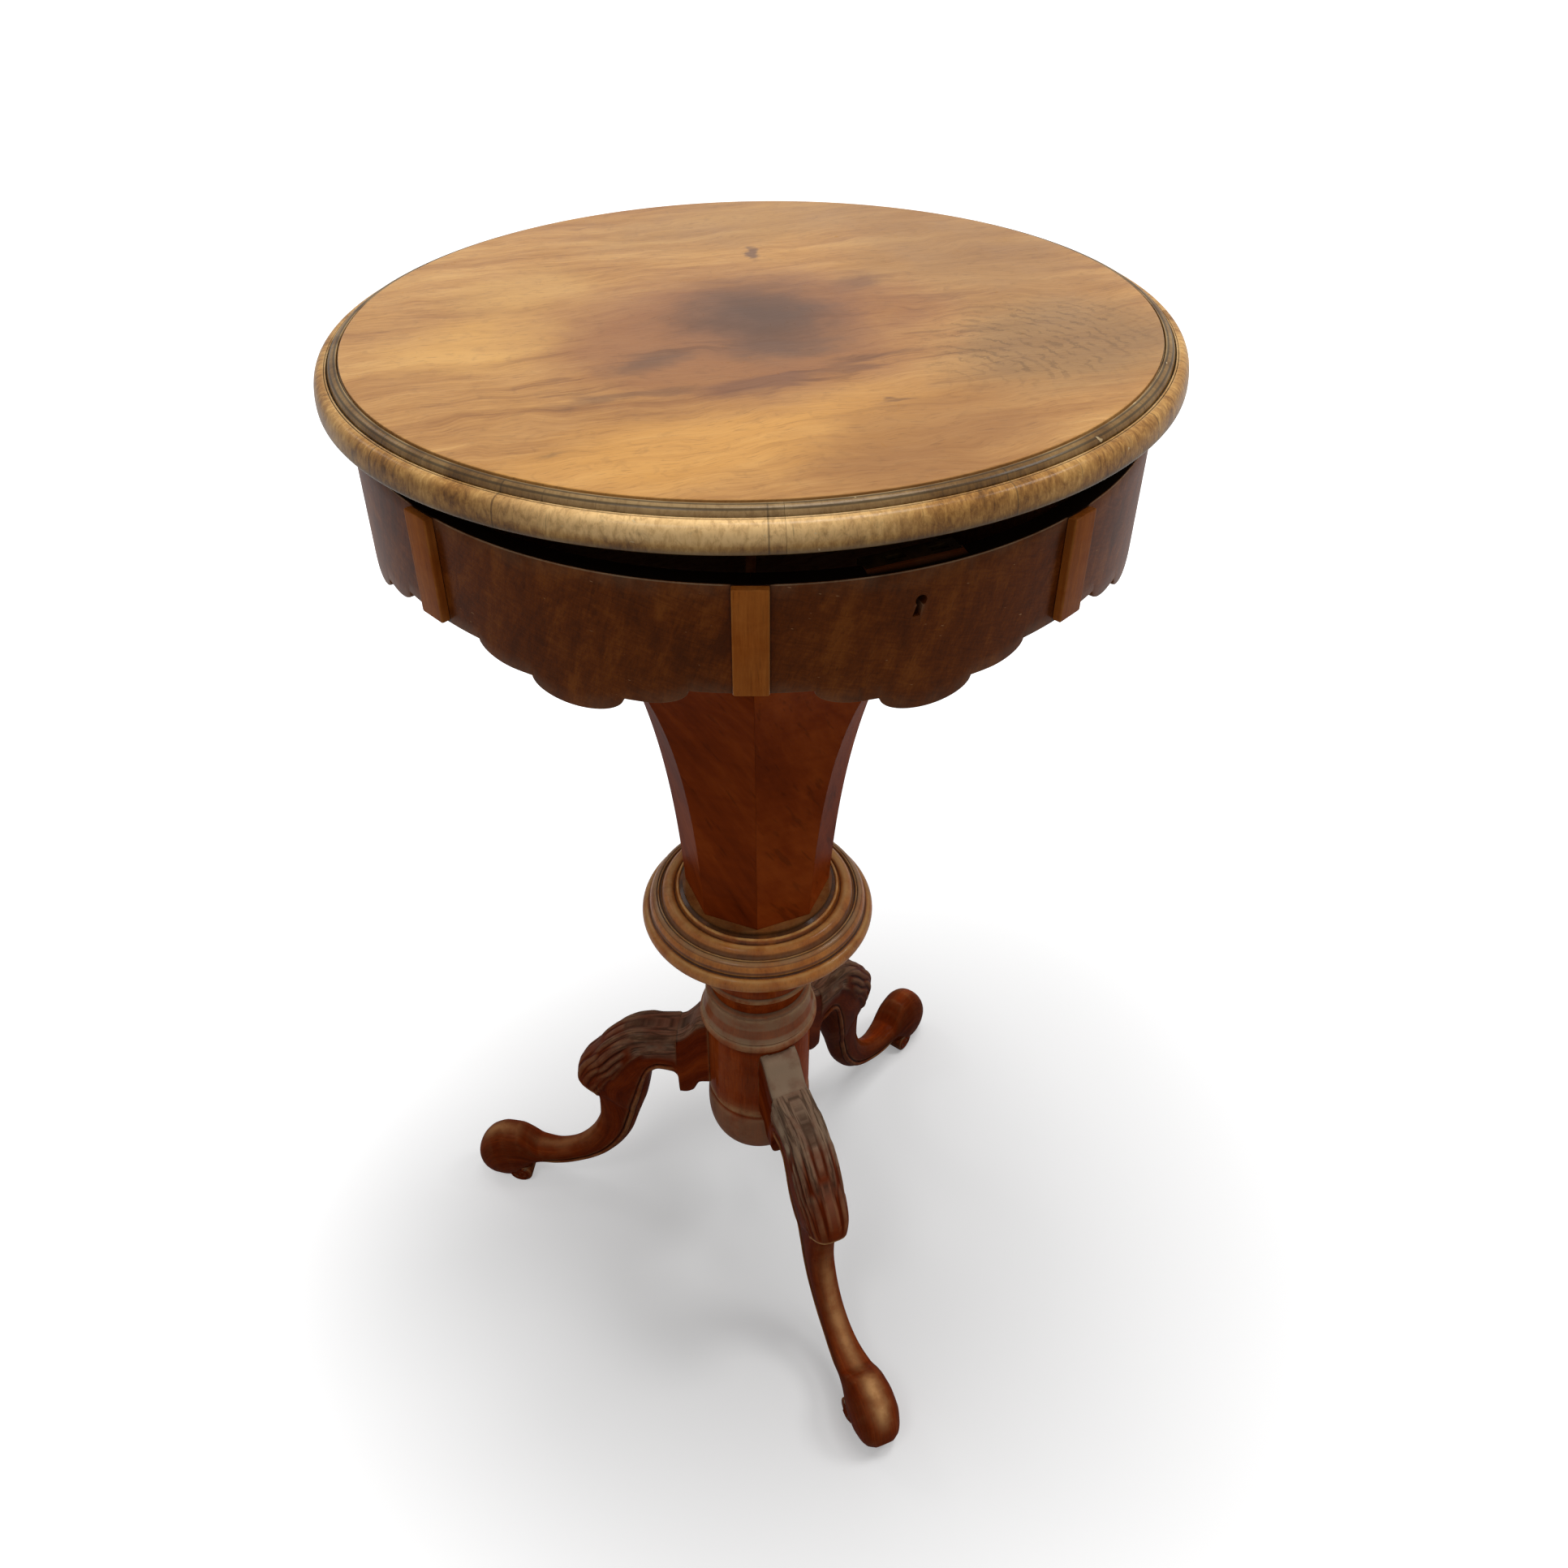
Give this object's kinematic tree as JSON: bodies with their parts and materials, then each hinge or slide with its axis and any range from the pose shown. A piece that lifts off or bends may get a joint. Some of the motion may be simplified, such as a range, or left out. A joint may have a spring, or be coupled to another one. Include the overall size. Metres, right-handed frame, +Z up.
{
  "type": "trumpet work table",
  "caption": "Round sewing table with a hinged lid over divided compartments, a scalloped drum, a flared octagonal stem used as a work well, and a carved cabriole tripod.",
  "frame": {"origin": "on the floor, under the middle of the table's bounding box", "axes": "+Z up; -Y is the front with the keyhole and one leg; the lid's hinges are at +Y"},
  "size_m": [0.4242, 0.4522, 0.7687],
  "materials": {
    "walnut_top": "worn french polish on figured veneer",
    "walnut_rim": "worn polish on cross-grain moulding",
    "walnut_dark": "satin polish",
    "walnut_pale": "satin polish",
    "walnut_red": "french polish on veneer",
    "walnut_golden": "polished turning",
    "walnut_turned": "polished turning",
    "walnut_dusty": "dusty polished turning",
    "walnut_carved": "polished carving, dusty in the hollows",
    "lining_paper": "faded lining paper",
    "old_brass": "tarnished brass"
  },
  "bodies": {
    "table": {"column": "walnut_turned", "drop_finial": "walnut_dusty", "stem_collar": "walnut_golden", "leg_front": "walnut_carved", "leg_right": "walnut_carved", "leg_left": "walnut_carved", "trumpet_stave_1": "walnut_red", "trumpet_stave_2": "walnut_red", "trumpet_stave_3": "walnut_red", "trumpet_stave_4": "walnut_red", "trumpet_stave_5": "walnut_red", "trumpet_stave_6": "walnut_red", "trumpet_stave_7": "walnut_red", "trumpet_stave_8": "walnut_red", "well_floor": "lining_paper", "tray_floor": "lining_paper", "well_frame": "lining_paper", "tray_divider_1": "lining_paper", "tray_divider_2": "lining_paper", "tray_divider_3": "lining_paper", "tray_divider_4": "lining_paper", "tray_divider_5": "lining_paper", "tray_divider_6": "lining_paper", "tray_divider_7": "lining_paper", "tray_divider_8": "lining_paper", "apron_panel_1": "walnut_dark", "apron_panel_2": "walnut_dark", "apron_panel_3": "walnut_dark", "apron_panel_4": "walnut_dark", "apron_panel_5": "walnut_dark", "apron_panel_6": "walnut_dark", "apron_panel_7": "walnut_dark", "apron_panel_8": "walnut_dark", "pilaster_1": "walnut_pale", "pilaster_2": "walnut_pale", "pilaster_3": "walnut_pale", "pilaster_4": "walnut_pale", "pilaster_5": "walnut_pale", "pilaster_6": "walnut_pale", "pilaster_7": "walnut_pale", "pilaster_8": "walnut_pale", "lock_case": "old_brass", "hinge_drum_leaf_left": "old_brass", "hinge_drum_leaf_right": "old_brass", "hinge_pin_left": "old_brass", "hinge_pin_right": "old_brass"},
    "lid": {"lid_panel": "walnut_top", "lid_rim_1": "walnut_rim", "lid_rim_2": "walnut_rim", "lid_rim_3": "walnut_rim", "lid_rim_4": "walnut_rim", "lid_rim_5": "walnut_rim", "lid_rim_6": "walnut_rim", "lid_rim_7": "walnut_rim", "lid_rim_8": "walnut_rim", "lid_lining": "lining_paper", "lock_strike": "old_brass", "hinge_lid_leaf_left": "old_brass", "hinge_lid_leaf_right": "old_brass"},
    "lock_bolt": {"lock_bolt": "old_brass"}
  },
  "joints": [
    {"name": "lid_hinge", "type": "hinge", "parent": "table", "child": "lid", "pos_m": [0, 0.21625, 0.7313], "axis": [-1, 0, 0], "range_deg": [-2.82, 97]},
    {"name": "lock_bolt_slide", "type": "slide", "parent": "table", "child": "lock_bolt", "axis": [1, 0, 0], "range_m": [0, 0.005]}
  ]
}
